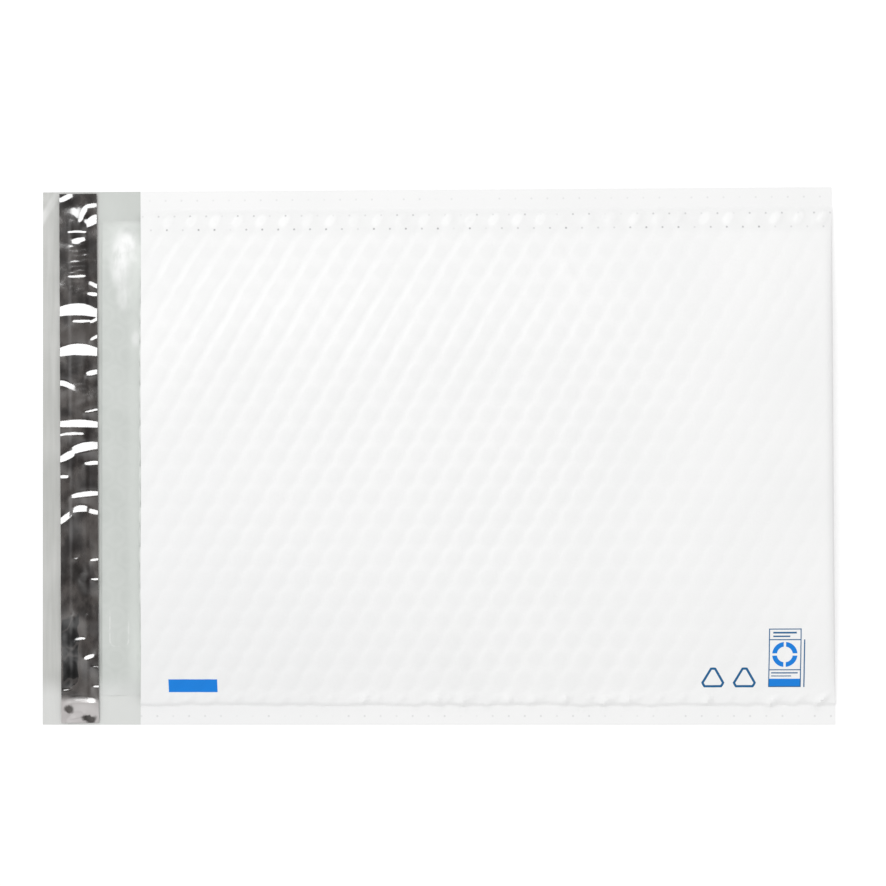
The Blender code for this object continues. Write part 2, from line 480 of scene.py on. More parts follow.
def bubble_distance(graph: Graph, lattice: Lattice) -> Field:
    """Distance from the nearest bubble's middle."""
    x = graph.x - lattice.center[0]
    y = graph.y - lattice.center[1]
    half = lattice.pitch / 2
    even = x.wrap(half).far(y.wrap(lattice.row))
    odd = (x - half).wrap(half).far((y - lattice.row).wrap(lattice.row))
    return even.low(odd)


# --- The mailer's common form


@dataclass(frozen=True)
class Form:
    """Sizes and outer form that the film and the ply share.

    Attributes:
        lip_x: The lip's free edge.
        mouth_x: Edge of the front panel.
        fold_x: The folded end.
        half_width: Half the sheet's width.
        seam: Width of a fused side seam.
        seam_thickness: Thickness of the two films there.
        film: Thickness of the film.
        step_run: Width of the step up from the near seam and from the far one.
        step_rise: Height of those steps.
        rise_run: Distance over which the body reaches its full height.
        edge: Height of the body along its sides and at the fold.
        bulge: How much higher its middle is.
        droop: How far the front panel sinks at the mouth.
        droop_run: Distance over which it does so.
        relief: Depth of the valleys between bubbles.
        margin: Depth under the smooth front panel that its relief keeps to.
        back_margin: Height over the back panel's inside that its relief keeps to.
        mouth_run: Distance past the mouth over which both margins come in.
        lattice: The bubbles' pattern.
    """

    lip_x: float
    mouth_x: float
    fold_x: float
    half_width: float
    seam: float = 0.0076
    seam_thickness: float = 0.0004
    film: float = 0.0002
    step_run: tuple[float, float] = (0.0015, 0.0022)
    step_rise: tuple[float, float] = (0.0013, 0.0007)
    rise_run: float = 0.0620
    edge: float = 0.0079
    bulge: float = 0.0042
    droop: float = 0.0020
    droop_run: float = 0.0260
    relief: float = 0.00050
    margin: float = 0.00090
    back_margin: float = 0.00025
    mouth_run: float = 0.006
    lattice: Lattice = Lattice()

    # How far round the fold the columns go, and the room over the mailer that a cutter fills.
    FOLD_DEGREES = 84
    HEADROOM = 0.01

    @property
    def body_half(self) -> float:
        """Half the width between the seams."""
        return self.half_width - self.seam

    @property
    def fold_radius(self) -> float:
        """Radius of the folded end."""
        return self.edge / 2

    @property
    def fold_reach(self) -> float:
        """Share of the fold's radius at which its arc is cut off."""
        return math.sin(math.radians(self.FOLD_DEGREES))

    @property
    def inner_depth(self) -> float:
        """How deep the film's inside lies on the round of the fold."""
        return self.film + 0.0003

    def rise(self, inset: Array, y: Array) -> Array:
        """Share of the full height that the body has reached, this far inside the seam line."""
        run = np.where(y < 0, *self.step_run)
        first = np.where(y < 0, *self.step_rise) / (self.edge - self.seam_thickness)
        step = smooth_step(inset / run, 0, 1)
        slope = np.clip(inset / self.rise_run, 0, 1)
        return first * step + (1 - first) * (1 - (1 - slope) ** 2)

    def drawn(self, x: Array, y: Array) -> Array:
        """How far the folded end is drawn back where the body stands high."""
        across = np.clip(np.abs(y) / self.body_half, 0, 1)
        return 0.0006 * (1 - across**4) * smooth_step(x, self.fold_x - 0.02, self.fold_x)

    def smooth_top(self, x: Array, y: Array, inset: Array) -> Array:
        """Height of the front panel without bubbles or creases."""
        along = np.clip((x - self.mouth_x) / (self.fold_x - self.mouth_x), 0, 1)
        across = np.clip(np.abs(y) / self.body_half, 0, 1)
        crown = self.edge + self.bulge * (1 - along**6) * (1 - across**6)
        sunk = self.droop * np.exp(-np.maximum(x - self.mouth_x, 0) / self.droop_run) * (1 - across**4)
        crown = crown - sunk
        return self.seam_thickness + (crown - self.seam_thickness) * self.rise(inset, y)

    def fold_share(self, x: Array, y: Array, inset: Array, depth: float) -> Array:
        """Share of its height that a layer this deep inside the film keeps on the round of the fold."""
        radius = self.fold_radius - depth
        reach = np.clip((x - (self.fold_x - depth - radius)) / radius, 0, 1)
        kept = np.sqrt(1 - (reach * self.fold_reach) ** 2)
        return 1 - (1 - kept) * smooth_step(self.rise(inset, y), 0, 0.5)

    def fold_columns(self, depth: float, count: int) -> list[float]:
        """Places along X that round the fold."""
        radius = self.fold_radius - depth
        angles = np.radians(np.linspace(0, self.FOLD_DEGREES, count + 1))
        start = self.fold_x - depth - radius
        return (start + radius * np.sin(angles) / self.fold_reach).tolist()

    def folded(self, x: Array, y: Array, inset: Array, faces: Pair, depth: float = 0) -> Pair:
        """Draws the two faces of a layer together on the round of the fold.

        Args:
            x: Places along X.
            y: Places along Y.
            inset: Distance inside the seam line.
            faces: Heights of the lower and of the upper face.
            depth: How deep the layer lies inside the film.

        Returns:
            The heights of both faces.
        """
        low, high = faces
        half = (high - low) / 2 * self.fold_share(x, y, inset, depth)
        middle = (high + low) / 2
        return middle - half, middle + half

    def inside(self, x: Array, y: Array) -> Pair:
        """Heights of the film's inside, over the back panel and under the front one, before the fold."""
        hidden = smooth_step(x - self.mouth_x, 0, self.mouth_run)
        top = self.smooth_top(x, y, self.body_half - np.abs(y)) - self.film - self.margin * hidden
        return self.film + self.back_margin * hidden, top

    def above(self, floor: Height) -> Faces:
        """Faces of a block from this floor up to a height that clears the whole mailer."""
        return lambda x, y: (floor(x, y), np.full_like(x, self.edge + self.bulge + self.HEADROOM))


# --- Film sheet


@dataclass(frozen=True)
class FilmFinish:
    """White satin film with a plain blue print.

    Attributes:
        white: Colour outside.
        shade: Colour outside where the film is a little thinner.
        tops: A darker colour over the bubbles' tops, and over a band along the far seam.
        corner_shade: Painted shade towards the near corner of the mouth, where less of the light falls.
        bright: Painted highlight along the slanting valleys that face the light, and on the puckers along
            the far seam.
        blue: Colour of the solid print.
        slate: Colour of the thin printed outlines.
        dots: Colour of the vent dots.
    """

    white: Color = (0.895, 0.895, 0.893)
    shade: Color = (0.876, 0.878, 0.876)
    tops: Color = (0.858, 0.860, 0.858)
    corner_shade: Color = (0.842, 0.844, 0.846)
    bright: Color = (0.930, 0.932, 0.930)
    blue: Color = (0.0005, 0.205, 0.700)
    slate: Color = (0.006, 0.110, 0.270)
    dots: Color = (0.330, 0.335, 0.340)


@dataclass(frozen=True)
class DotRow:
    """A row of vent dots along a side seam.

    Attributes:
        y: Its place across the mailer.
        phase: Place of one dot along X.
        strength: How dark its darkest dots are, from 0 to 1.
        radius: Radius of a dot.
    """

    y: float
    phase: float
    strength: float
    radius: float = 0.00042


@dataclass(frozen=True)
class Bar:
    """A printed rectangle: its corners in mm."""

    left: float
    right: float
    bottom: float
    top: float


@dataclass(frozen=True)
class Print:
    """The plain printed shapes on the front panel, in mm.

    Attributes:
        solid: Bars in the strong blue.
        fine: Bars in the slate blue.
        frame: Outside of the label's frame.
        levels: Places of the two lines across the frame.
        line: Width of the thin lines.
        triangles: Middle of each round-cornered outline.
        triangle_size: From a triangle's middle to its sides.
        triangle_corner: From its middle to its round corners.
        triangle_line: Width of its outline.
        ring: Middle of the ring of blocks.
        ring_radius: Radius of the ring.
        ring_half: Half the width of its band.
        ring_gap: Half the gap between its blocks.
        soft: Half the width of the print's soft edge.
    """

    solid: tuple[Bar, ...] = (
        Bar(-107.9, -88.2, -94.6, -89.3),
        Bar(132.7, 145.3, -92.4, -89.2),
    )
    fine: tuple[Bar, ...] = (
        Bar(134.2, 143.6, -71.0, -70.3),
        Bar(134.2, 141.0, -72.4, -71.8),
        Bar(133.6, 144.2, -87.1, -86.6),
        Bar(133.6, 141.6, -88.3, -87.9),
        Bar(146.5, 147.0, -92.6, -73.4),
    )
    frame: Bar = Bar(132.7, 145.3, -92.4, -69.2)
    levels: tuple[float, float] = (-73.45, -85.6)
    line: float = 0.42
    triangles: tuple[tuple[float, float], ...] = ((110.45, -89.4), (123.0, -89.4))
    triangle_size: float = 2.85
    triangle_corner: float = 2.85 * 1.52
    triangle_line: float = 0.95
    ring: tuple[float, float] = (138.9, -79.4)
    ring_radius: float = 4.1
    ring_half: float = 0.95
    ring_gap: float = 0.45
    soft: float = 0.07


class FilmSheet:
    """The folded film sheet: front panel, fold, back panel, fused seams and lip."""

    STEP = 0.00125
    SEAM_STEP = 0.0007
    LIP_STEP = 0.0014
    INNER_STEP = 0.0045
    CREASES = (
        Stroke((0.1, -59.5), (15.4, -96.8), 1.5, 0.38, 1.0),
        Stroke((-57.9, -84.7), (-49.4, -99.8), 1.5, 0.42),
        Stroke((48.4, 86.7), (58.2, 64.8), 1.4, 0.34),
        Stroke((36.8, -95.5), (45.0, -79.5), 1.3, 0.34),
        Stroke((48.8, -88.7), (50.2, -98.0), 1.2, 0.32),
        Stroke((28.8, -88.7), (31.8, -95.8), 1.2, 0.28),
        Stroke((131.8, -101.6), (135.8, -96.2), 1.3, 1.20),
        Stroke((151.0, -101.6), (154.6, -96.6), 1.3, 0.90),
    )
    # Places along X, in mm, of the small hooks at the near seam.
    HOOKS = (-29.4, -0.2, 10.3, 28.5, 38.6, 51.2, 67.4, 76.3, 108.4)
    # Each row of puckers: its place across, its lean, and the height and radius of a pucker.
    PUCKERS = (
        (0.0957, 0.35, 0.00140, 0.0026),
        (-0.0972, 0.80, 0.00080, 0.0018),
    )
    PUCKER_SHIFT = 0.0800
    BACK_RELIEF = 0.00022
    WALL = 0.0030
    DOT_PITCH = 0.00645
    DOT_ROWS = (
        DotRow(0.09187, -0.10861, 0.80),
        DotRow(0.09754, -0.10574, 0.50),
        DotRow(0.10415, -0.11600, 0.20),
        DotRow(-0.10447, 0.08695, 0.30),
    )
    LIP_FOLDS = (
        Stroke((-160.5, 103.4), (-147.0, 106.9), 1.3, 0.14),
        Stroke((-157.0, 96.0), (-155.0, 62.0), 1.0, 0.10),
        Stroke((-155.4, -84.0), (-158.0, -104.0), 1.2, 0.12),
    )
    # Places along X at which the lip's small waves end, and at which the tone of its inside changes.
    LIP_CALM = (-0.1400, -0.1375)
    LIP_TONES = (-0.1372, -0.1362)

    def __init__(self, form: Form, finish: FilmFinish, design: Print) -> None:
        """Takes the common form, the finish and the print."""
        self.form = form
        self.finish = finish
        self.design = design

    def inset(self, x: Array, y: Array) -> Array:
        """Distance inside the seam line, which wavers as a heat seal does."""
        waver = 0.00018 * ripple(x, np.sign(y) * 0.05, 0.011, 3) + 0.00020 * ripple(x, np.sign(y), 0.030, 4)
        scallop = np.maximum(np.cos((x + 0.0925) * 2 * math.pi / self.form.lattice.pitch), 0) ** 3
        near = 0.0008 * scallop * smooth_step(ripple(x, 0 * x, 0.05, 16), -0.6, 0.8)
        near = near + 0.00022 * ripple(x, 0 * x, 0.017, 19)
        return self.form.body_half - np.abs(y) + waver + near * (y < 0)

    def relief(self, x: Array, y: Array, inset: Array) -> Array:
        """Depth of the valleys between bubbles, which is less towards the fold and the mouth's edge."""
        form = self.form
        patch = 1 + 0.20 * ripple(x, y, 0.07, 5) - 0.45 * smooth_step(x, 0.03, 0.13)
        patch = patch - 0.20 * smooth_step(-x, 0.04, 0.11) * smooth_step(-y, -0.01, 0.05)
        patch = patch + 0.10 * smooth_step(y, 0.02, 0.07)
        upper = smooth_step(y, -0.05, 0.06) * smooth_step(-x, -0.12, 0.06)
        ends = smooth_step(inset, 0.0005, 0.0060) * smooth_step(x - form.mouth_x, 0.0, 0.0045)
        ends = ends * smooth_step(form.fold_x - x, 0.003, 0.009)
        return form.relief * patch * ends * form.lattice.valley(x, y, 0.45 + 0.35 * upper)

    def puckers(self, x: Array, y: Array) -> Array:
        """Bulges of the bubbles that the seams squeeze."""
        pitch = self.form.lattice.pitch
        shifted = x + self.PUCKER_SHIFT + 0.0007 * ripple(x, 0 * x, 0.03, 17)
        off = shifted - np.round(shifted / pitch) * pitch
        luck = np.maximum(0.75 + 0.5 * ripple(x, 0 * x, 0.022, 18), 0.1)
        total = np.zeros_like(off)
        for row, lean, size, radius in self.PUCKERS:
            across = (off - lean * (y - row)) / (0.8 * radius)
            total = total + size * luck * np.exp(-(across**2) - ((y - row) / radius) ** 2)
        return total * smooth_step(x - self.form.mouth_x, 0.002, 0.010)

    def front(self, x: Array, y: Array) -> Array:
        """Height of the outside of the front panel."""
        inset = self.inset(x, y)
        height = self.form.smooth_top(x, y, inset) - self.relief(x, y, inset)
        inside = smooth_step(inset, 0, 0.006)
        height += inside * 0.00016 * ripple(x, y, 0.070, 6)
        height += inside * 0.00002 * ripple(x, y, 0.016, 7)
        height += self.puckers(x, y)
        hooks = tuple(Stroke((at - 1.2, -100.6), (at + 2.0, -96.6), 1.3, 1.20, 0, -1) for at in self.HOOKS)
        for crease in self.CREASES + hooks:
            height += crease.at(x, y) * smooth_step(inset, -0.002, 0.002)
        return height

    def shell(self, x: Array, y: Array) -> Pair:
        """Heights of the outside of the back and of the front panel."""
        form = self.form
        inset = self.inset(x, y)
        ends = smooth_step(inset, 0.002, 0.006) * smooth_step(form.fold_x - x, 0.004, 0.010)
        back = self.BACK_RELIEF * ends * form.lattice.valley(x, y) * smooth_step(x - form.mouth_x, 0, 0.005)
        return form.folded(x, y, inset, (back, self.front(x, y)))

    def build(self) -> Object:
        """Builds the sheet as one closed shell."""
        form = self.form
        columns = [form.lip_x, form.mouth_x - 0.002]
        columns += spaced(form.mouth_x - 0.0008, form.fold_x - form.fold_radius - 0.001, self.STEP)
        columns += form.fold_columns(0, 8)
        inner = spaced(-form.body_half + 0.0012, -0.0940, self.SEAM_STEP)
        inner += spaced(-0.0940 + self.STEP, form.body_half - 0.0012, self.STEP)
        side = [form.half_width, form.body_half + 0.0035, form.body_half + 0.0006, form.body_half + 0.0002]
        side += [form.body_half - 0.0002, form.body_half - 0.0006]
        rows = [-y for y in side] + inner + side[::-1]
        sheet = make_block(Piece.FILM.value + "_detail", columns, rows, self.shell, form.drawn)
        sheet.data.materials.append(self.white())
        grey = self.grey()
        cutters = [self.pocket(), self.lip_space()]
        for cutter in cutters:
            cutter.data.materials.append(grey)
        carve(sheet, cutters)
        return sheet

    def pocket(self) -> Object:
        """What is taken out of the sheet's inside."""
        form = self.form
        half = form.body_half - self.WALL

        def faces(x: Array, y: Array) -> Pair:
            """Heights of the film's inside."""
            return form.folded(x, y, form.body_half - np.abs(y), form.inside(x, y), form.inner_depth)

        columns = [form.lip_x - 0.005] + spaced(form.mouth_x, form.mouth_x + form.mouth_run, 0.0015)
        columns += spaced(form.mouth_x + 0.009, form.fold_x - form.fold_radius - 0.001, self.INNER_STEP)
        columns += form.fold_columns(form.inner_depth, 5)
        return make_block("pocket", columns, spaced(-half, half, 0.0022), faces, form.drawn)

    def lip_top(self, x: Array, y: Array) -> Array:
        """Height of the lip's upper face."""
        lift = 0.00014 * smooth_step(np.abs(ripple(x, y, 0.030, 8)), 0.2, 1.4)
        lift = lift * smooth_step(x - self.form.lip_x, 0, 0.003) * (1 - smooth_step(x, *self.LIP_CALM))
        for fold in self.LIP_FOLDS:
            lift = lift + fold.at(x, y)
        return self.form.film + lift

    def mouth_line(self, y: Array) -> Array:
        """The front panel's cut edge, which is drawn back where the body stands high."""
        high = self.form.smooth_top(np.full_like(y, self.form.mouth_x), y, self.form.body_half - np.abs(y))
        return self.form.mouth_x + 0.17 * high + 0.00012 * ripple(y, 0 * y, 0.05, 9)

    def lip_space(self) -> Object:
        """What is taken off above the lip."""
        form = self.form
        columns = spaced(form.lip_x - 0.002, form.mouth_x, self.LIP_STEP)
        edge = form.half_width + 0.003
        rows = spaced(-edge, edge, self.LIP_STEP)

        def drawn(x: Array, y: Array) -> Array:
            """Brings the last column to the front panel's cut edge."""
            return np.where(x > form.mouth_x - 1e-6, x - self.mouth_line(y), 0)

        return make_block("lip_space", columns, rows, form.above(self.lip_top), drawn)

    def printed(self, graph: Graph) -> tuple[Field, Field]:
        """Shares of the strong blue and of the slate blue on the front panel."""
        design = self.design
        x = graph.x * 1000
        y = graph.y * 1000

        def inside(bar: Bar) -> Field:
            """Distance to a bar, which is negative inside it."""
            across = (x - (bar.left + bar.right) / 2).abs() - (bar.right - bar.left) / 2
            up = (y - (bar.bottom + bar.top) / 2).abs() - (bar.top - bar.bottom) / 2
            return across.high(up)

        solid = reduce(Field.low, map(inside, design.solid))
        fine = reduce(Field.low, map(inside, design.fine))
        half = design.line / 2
        outline = inside(design.frame).abs() - half
        for level in design.levels:
            bar = Bar(design.frame.left, design.frame.right, level - half, level + half)
            outline = outline.low(inside(bar))
        fine = fine.low(outline)
        for middle in design.triangles:
            fine = fine.low(self.triangle(x - middle[0], y - middle[1]))
        solid = solid.low(self.blocks_ring(x - design.ring[0], y - design.ring[1]))
        raised = graph.z.step(0.0015, 0.002)
        return tuple(part.step(design.soft, -design.soft) * raised for part in (solid, fine))

    def triangle(self, x: Field, y: Field) -> Field:
        """Distance to a plain outline with three sides and round corners."""
        design = self.design
        turns = [math.radians(turn) for turn in (90, 210, 330)]
        sides = [x * -math.cos(turn) + y * -math.sin(turn) for turn in turns]
        far = reduce(Field.high, sides) - design.triangle_size
        return far.high(x.far(y) - design.triangle_corner).abs() - design.triangle_line / 2

    def blocks_ring(self, x: Field, y: Field) -> Field:
        """Distance to a plain broken ring."""
        ring = (x.far(y) - self.design.ring_radius).abs() - self.design.ring_half
        spokes = x.abs().low(y.abs()) * -1 + self.design.ring_gap
        return ring.high(spokes)

    def vents(self, graph: Graph) -> Field:
        """How dark the vent dots are."""

        def dots(number: int) -> Field:
            """How dark one row's dots are."""
            row = self.DOT_ROWS[number]
            along = graph.x - row.phase
            cell = (along * (1 / self.DOT_PITCH) + 0.5).floor() + 100.5 * number
            luck = graph.random(cell).step(-0.25, 0.85)
            size = along.wrap(self.DOT_PITCH / 2).far(graph.y - row.y)
            return size.step(row.radius * 1.5, row.radius * 0.4) * luck * row.strength

        return reduce(Field.high, map(dots, range(len(self.DOT_ROWS)))) * graph.z.step(0.0001, 0.0003)

    def lit_valleys(self, graph: Graph) -> Field:
        """Where the painted highlight goes: 1 in the middle of the valleys that run up to the right, and 0
        over the bubbles.
        """
        lattice = self.form.lattice
        across = (graph.x - lattice.center[0]) * math.cos(lattice.SLANT)
        across = across - (graph.y - lattice.center[1]) * math.sin(lattice.SLANT)
        across = across + graph.noise(0.009, 1) * 0.0030 - 0.0015
        luck = graph.noise(0.016, 2).step(0.30, 0.60) * 0.60 + 0.40
        return across.wrap(lattice.row / 2).abs().step(0.0020, 0.0036) * luck

    def white(self) -> Material:
        """The film's outside, with its print, dots and fine wrinkles, and painted highlights and shade."""
        finish = self.finish
        graph = Graph("film_white")
        tone = graph.noise(0.045, 3)
        color = graph.mix(tone.step(0.35, 0.75), finish.white, finish.shade)
        uneven = graph.noise(0.010, 2) * 0.0036 - 0.0018
        round_top = (bubble_distance(graph, self.form.lattice) + uneven).step(0.0042, 0.0016)
        inner = graph.y.abs().step(0.0960, 0.0860) * graph.x.step(0.1300, 0.0600)
        raised = inner * graph.x.step(-0.1170, -0.1090) * graph.z.step(0.002, 0.004)
        color = graph.mix(round_top * raised * 0.6, color, finish.tops)
        # Painted highlight along the slanting valleys, strongest towards the upper left, where the light
        # comes from.
        upper = graph.y.step(0.0050, 0.0600) * graph.x.step(0.1200, -0.0400)
        color = graph.mix(self.lit_valleys(graph) * raised * (upper * 0.70 + 0.15), color, finish.bright)
        # A band along the far seam is made a little darker.
        band = graph.y.step(0.0885, 0.0915) * graph.y.step(0.1010, 0.0985) * graph.x.step(-0.1170, -0.1120)
        color = graph.mix(band * 0.7, color, finish.tops)
        # Painted highlights on the puckers along the far seam.
        pitch = self.form.lattice.pitch
        lean, row = 0.35, 0.0955
        slanted = graph.x - graph.y * lean + (self.PUCKER_SHIFT + lean * row)
        pucker_glint = (slanted.wrap(pitch / 2) * (1 / 0.0027)).far((graph.y - row) * (1 / 0.0034)).step(1.0, 0.45)
        luck = graph.random((slanted * (1 / pitch) + 0.5).floor() + 40.5).step(0.0, 0.6)
        color = graph.mix(pucker_glint * luck * band, color, finish.bright)
        # Painted shade towards the near corner of the mouth.
        corner = graph.x.step(0.0500, -0.1200) * graph.y.step(0.0600, -0.0700)
        color = graph.mix(corner * 0.8, color, finish.corner_shade)
        solid, fine = self.printed(graph)
        vents = self.vents(graph)
        color = graph.mix(vents, color, finish.dots)
        color = graph.mix(solid, color, finish.blue)
        color = graph.mix(fine, color, finish.slate)
        graph.color(color)
        graph.roughness(graph.noise(0.012) * 0.10 + 0.42)
        body = graph.z.step(0.0006, 0.002)
        rings = bubble_distance(graph, self.form.lattice).step(0.0028, 0.0042) * -0.000018 * body
        fine_wrinkles = graph.noise(0.0035, 3) * 0.00004
        grain = graph.noise(0.0008, 1) * 0.000004
        graph.bump(rings + fine_wrinkles + grain - vents * 0.00005)
        graph.set(Specular_IOR_Level=0.28)
        return graph.material

    def grey(self) -> Material:
        """The film's inside."""
        graph = Graph("film_grey")
        streaks = graph.noise(0.0022, 3, (1, 0.06, 1))
        patch = graph.noise(0.02, 2)
        blend = (streaks * 0.6 + patch * 0.4).step(0.3, 0.7)
        edge = graph.mix(blend, (0.455, 0.460, 0.440), (0.555, 0.558, 0.540))
        under = graph.mix(patch.step(0.35, 0.7), (0.530, 0.553, 0.528), (0.570, 0.592, 0.568))
        color = graph.mix(graph.x.step(*self.LIP_TONES), edge, under)
        # Paler towards the near end, and a painted highlight along a crease at the lip's far corner.
        ends = graph.y.step(-0.0880, -0.0975) * 0.50
        crease = ((graph.x + 0.1550) * 0.85 - (graph.y - 0.1050) * 0.52).abs().step(0.0022, 0.0006)
        crease = crease * graph.x.step(-0.1470, -0.1500) * patch.step(0.25, 0.55)
        graph.color(graph.mix((ends + crease * 0.7).low(1.0), color, (0.80, 0.805, 0.795)))
        graph.roughness(patch * 0.15 + 0.30)
        graph.bump(streaks * 0.00006 + graph.noise(0.004, 2) * 0.00005)
        return graph.material


# --- Bubble ply


@dataclass(frozen=True)
class PlySizes:
    """Sizes of the bubble ply.

    Attributes:
        tail_x: The tail's cut edge.
        ply: Thickness of the ply.
        edge: Thickness of the tail's cut edge.
        gap: Clearance to the film round it.
        slack: More clearance under the front panel.
        side: Distance of its sides inside the seam line.
    """

    tail_x: float
    ply: float = 0.0027
    edge: float = 0.0004
    gap: float = 0.00012
    slack: float = 0.0001
    side: float = 0.0042


class BubblePly:
    """The folded ply of bubble film that lines the pocket, with its tail past the mouth."""

    STEP = 0.0012
    FOLDS = (
        Stroke((-126.5, 92.0), (-123.0, 88.5), 2.2, 0.45),
        Stroke((-124.5, 88.0), (-124.0, 64.0), 0.8, 0.16),
        Stroke((-126.5, 87.0), (-126.8, 68.0), 0.6, 0.12),
        Stroke((-127.0, 66.0), (-122.0, 58.0), 0.8, 0.25),
        Stroke((-124.5, 66.5), (-122.5, 60.0), 0.8, 0.22),
        Stroke((-133.0, -98.0), (-126.0, -92.0), 2.5, 0.35),
    )
    # Each painted highlight where the tail's folds catch the light: its place along X and Y, its reach along
    # both, and its strength.
    PAINTED_GLINTS = (
        (-0.1252, 0.0856, 0.0078, 0.0090, 0.70),
        (-0.1280, 0.0775, 0.0058, 0.0110, 0.62),
        (-0.1262, 0.0650, 0.0045, 0.0080, 0.35),
        (-0.1210, 0.0480, 0.0030, 0.0050, 0.40),
    )

    def __init__(self, form: Form, sizes: PlySizes) -> None:
        """Takes the common form and the ply's own sizes."""
        self.form = form
        self.sizes = sizes

    def top(self, x: Array, y: Array) -> Array:
        """Height of the ply's smooth upper face, under the front panel."""
        return self.form.inside(x, y)[1] - self.sizes.gap - self.sizes.slack

    def skin(self, x: Array, y: Array) -> Pair:
        """Heights of the ply's lower and upper outside."""
        form = self.form
        inset = form.body_half - np.abs(y)
        edge = 1 - smooth_step(x - form.mouth_x, 0.003, 0.006)
        bubbles = 0.0011 * edge * form.lattice.valley(x, y) * smooth_step(inset, 0.003, 0.008)
        tail = 1 - smooth_step(x - form.mouth_x, -0.001, 0.001)
        floor = form.inside(x, y)[0] + self.sizes.gap * (1 - tail) + 0.00004 * tail
        return form.folded(x, y, inset, (floor, self.top(x, y) - bubbles), form.inner_depth + self.sizes.gap)

    def build(self) -> Object:
        """Builds the ply as one closed solid."""
        form = self.form
        sizes = self.sizes
        columns = [sizes.tail_x, form.mouth_x - 0.001]
        columns += spaced(form.mouth_x, form.mouth_x + 0.008, self.STEP)
        columns += spaced(form.mouth_x + 0.012, form.fold_x - form.fold_radius - 0.001, 0.006)
        columns += form.fold_columns(form.inner_depth + sizes.gap, 5)
        half = form.body_half - sizes.side
        rows = spaced(-half, half, self.STEP)
        ply = make_block(Piece.PLY.value + "_detail", columns, rows, self.skin, form.drawn)
        ply.data.materials.append(self.clear())
        carve(ply, [self.hollow(), self.tail_space()])
        return ply

    def hollow(self) -> Object:
        """The space between the two layers of the ply."""
        form = self.form
        sizes = self.sizes
        half = form.body_half - sizes.side - 0.003

        def faces(x: Array, y: Array) -> Pair:
            """Heights of the two layers' insides."""
            top = self.top(x, y)
            floor = form.film + sizes.gap
            ply = np.minimum(sizes.ply, (top - floor - 0.0005) / 2)
            return floor + ply, top - ply

        end = form.fold_x - form.film - sizes.ply - 0.001
        columns = [sizes.tail_x - 0.003] + spaced(form.mouth_x - 0.001, end, 0.005)
        return make_block("hollow", columns, spaced(-half, half, 0.003), faces, form.drawn)

    def tail_top(self, x: Array, y: Array) -> Array:
        """Height of the tail's upper face."""
        form = self.form
        sizes = self.sizes
        least = 0.00008
        share = np.clip((x - sizes.tail_x) / (form.mouth_x - sizes.tail_x), 0, 1)
        sides = smooth_step(form.body_half - np.abs(y), 0.004, 0.022)
        height = form.film + least + (sizes.gap + sizes.edge - least) * sides
        height = height + (sizes.ply - sizes.edge) * share * sides
        height = height + 0.00010 * ripple(x, y, 0.024, 12) * share * sides
        height = height - 0.00003 * form.lattice.valley(x, y) * sides
        for fold in self.FOLDS:
            height = height + fold.at(x, y)
        return height

    def tail_space(self) -> Object:
        """Clears the front layer off the tail, and shapes the tail's upper face."""
        form = self.form
        columns = spaced(self.sizes.tail_x - 0.002, form.mouth_x + 0.0010, self.STEP)
        rows = spaced(-form.body_half, form.body_half, self.STEP)
        return make_block("tail_space", columns, rows, form.above(self.tail_top))

    def clear(self) -> Material:
        """Clear bubble film over the grey film, with painted light and painted highlights."""
        graph = Graph("bubble_clear")
        bubbles = bubble_distance(graph, self.form.lattice)
        ring = bubbles.step(0.0022, 0.0033) * bubbles.step(0.0050, 0.0036)
        cloud = graph.noise(0.018, 3)
        color = graph.mix(cloud.step(0.3, 0.75), (0.548, 0.575, 0.549), (0.590, 0.615, 0.590))
        color = graph.mix(ring * 0.10, color, (0.74, 0.755, 0.74))
        # Painted light towards the mouth, which cancels the shade that the front panel's edge casts on the
        # tail.
        painted_light_near_mouth = graph.x.step(-0.1270, -0.1195) * graph.y.step(0.0965, 0.0860)
        color = graph.mix(painted_light_near_mouth, color, (0.690, 0.718, 0.690))
        # Painted highlights on the tail's folds.
        for x, y, across, along, amount in self.PAINTED_GLINTS:
            off = ((graph.x - x) * (1 / across)).far((graph.y - y) * (1 / along))
            wisp = graph.noise(0.004, 3, (1, 0.4, 1)).step(0.20, 0.60)
            color = graph.mix(off.step(1.0, 0.25) * wisp * amount, color, (0.97, 0.97, 0.97))
        color = graph.mix(graph.y.step(-0.0850, -0.0965), color, (0.660, 0.676, 0.660))
        color = graph.mix(graph.y.step(0.0930, 0.0962), color, (0.550, 0.572, 0.548))
        side = ((graph.x + 0.1282).abs() - 0.0014).high(0.0)
        end = (graph.y * -1 - 0.0738).high(0.0)
        trace = (side.far(end) - 0.0025).abs().step(0.0005, 0.0001) * graph.y.step(-0.0600, -0.0660)
        trace = trace * graph.noise(0.003, 2).step(0.38, 0.62)
        color = graph.mix(trace * 0.6, color, (0.76, 0.77, 0.76))
        graph.color(color)
        graph.roughness(graph.noise(0.01) * 0.15 + 0.24)
        graph.bump(ring * 0.000008 + trace * 0.00003 + graph.noise(0.006, 3) * 0.00006)
        graph.set(Specular_IOR_Level=0.5)
        return graph.material


# --- Adhesive and release strip


@dataclass(frozen=True)
class StripSizes:
    """Sizes of the adhesive bead and of the release strip over it.

    Attributes:
        x: Middle of the bead and of the strip.
        half_length: Half the strip's length.
        half_bead: Half the bead's length.
        width: Width of the strip.
        bead_width: Width of the bead.
        base: Height at which the strip lies on the lip.
        bead: How far the bead lifts the strip.
        thickness: Thickness of the strip.
        lean: Angle of the strip, in degrees.
    """

    x: float
    half_length: float
    half_bead: float
    width: float = 0.0152
    bead_width: float = 0.00635
    base: float = 0.00052
    bead: float = 0.00007
    thickness: float = 0.00008
    lean: float = 0.27


